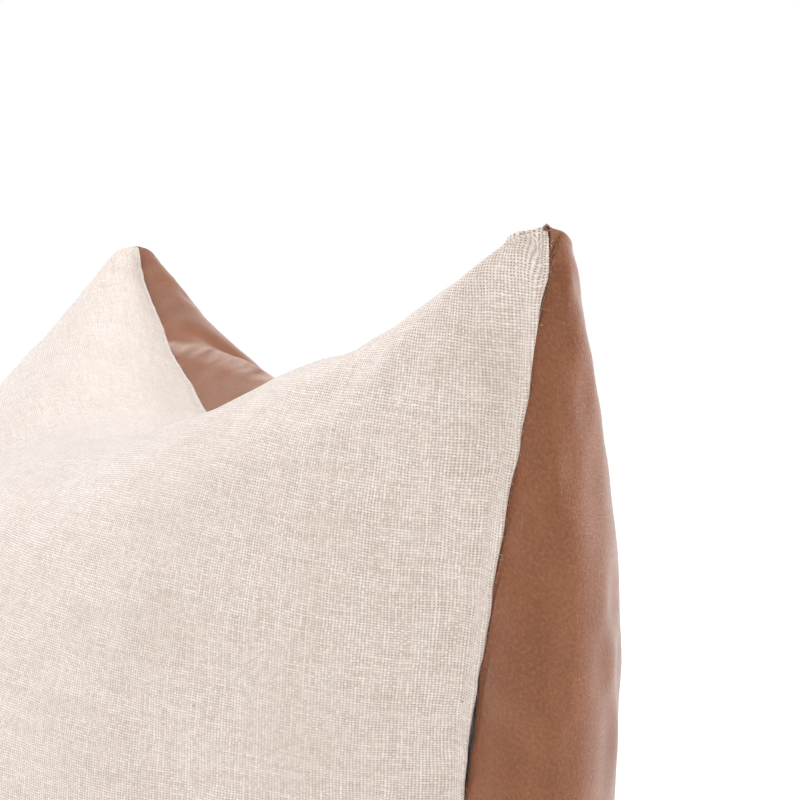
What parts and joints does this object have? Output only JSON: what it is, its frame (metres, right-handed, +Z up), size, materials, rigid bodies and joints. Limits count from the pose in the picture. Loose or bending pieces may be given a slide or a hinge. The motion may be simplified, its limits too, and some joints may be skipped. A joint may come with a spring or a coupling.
{
  "type": "throw pillow",
  "caption": "Square throw pillow on its bottom edge, with two upright corners, a woven front, a leather back, an inner cushion and a zip in the bottom seam.",
  "frame": {"origin": "on the floor, below the middle of the pillow's box, with the pillow standing on its zipped bottom edge", "axes": "+X across the pillow from seam to seam, +Y out of the leather back, so the linen front faces -Y, +Z up to the two upright corners"},
  "size_m": [0.482, 0.215, 0.4709],
  "materials": {
    "linen": "matte",
    "leather": "satin",
    "sewing_thread": "matte",
    "ticking": "matte",
    "down": "matte",
    "zip_tape": "matte",
    "zip_coil": "satin",
    "zip_metal": "satin"
  },
  "bodies": {
    "pillow": {"front_panel": "linen", "back_panel": "leather", "cover_seam_thread_right": "sewing_thread", "cover_seam_thread_top": "sewing_thread", "cover_seam_thread_left": "sewing_thread", "insert_front": "ticking", "insert_back": "ticking", "insert_seam_thread_right": "sewing_thread", "insert_seam_thread_top": "sewing_thread", "insert_seam_thread_left": "sewing_thread", "down_fill": "down", "zipper_tape_front": "zip_tape", "zipper_tape_back": "zip_tape", "zipper_coil_front": "zip_coil", "zipper_coil_back": "zip_coil", "zipper_stitch_front": "sewing_thread", "zipper_stitch_back": "sewing_thread", "zipper_stop_open_front": "zip_metal", "zipper_stop_open_back": "zip_metal", "zipper_stop_closed": "zip_metal"},
    "slider": {"zipper_slider": "zip_metal"},
    "pull": {"zipper_pull": "zip_metal"}
  },
  "joints": [
    {"name": "zipper_slide", "type": "slide", "parent": "pillow", "child": "slider", "axis": [1, 0, 0], "range_m": [0, 0.372]},
    {"name": "pull_hinge", "type": "hinge", "parent": "slider", "child": "pull", "pos_m": [-0.186, 0.04162, 0.00195], "axis": [0, 1, 0], "range_deg": [0, 175]}
  ]
}
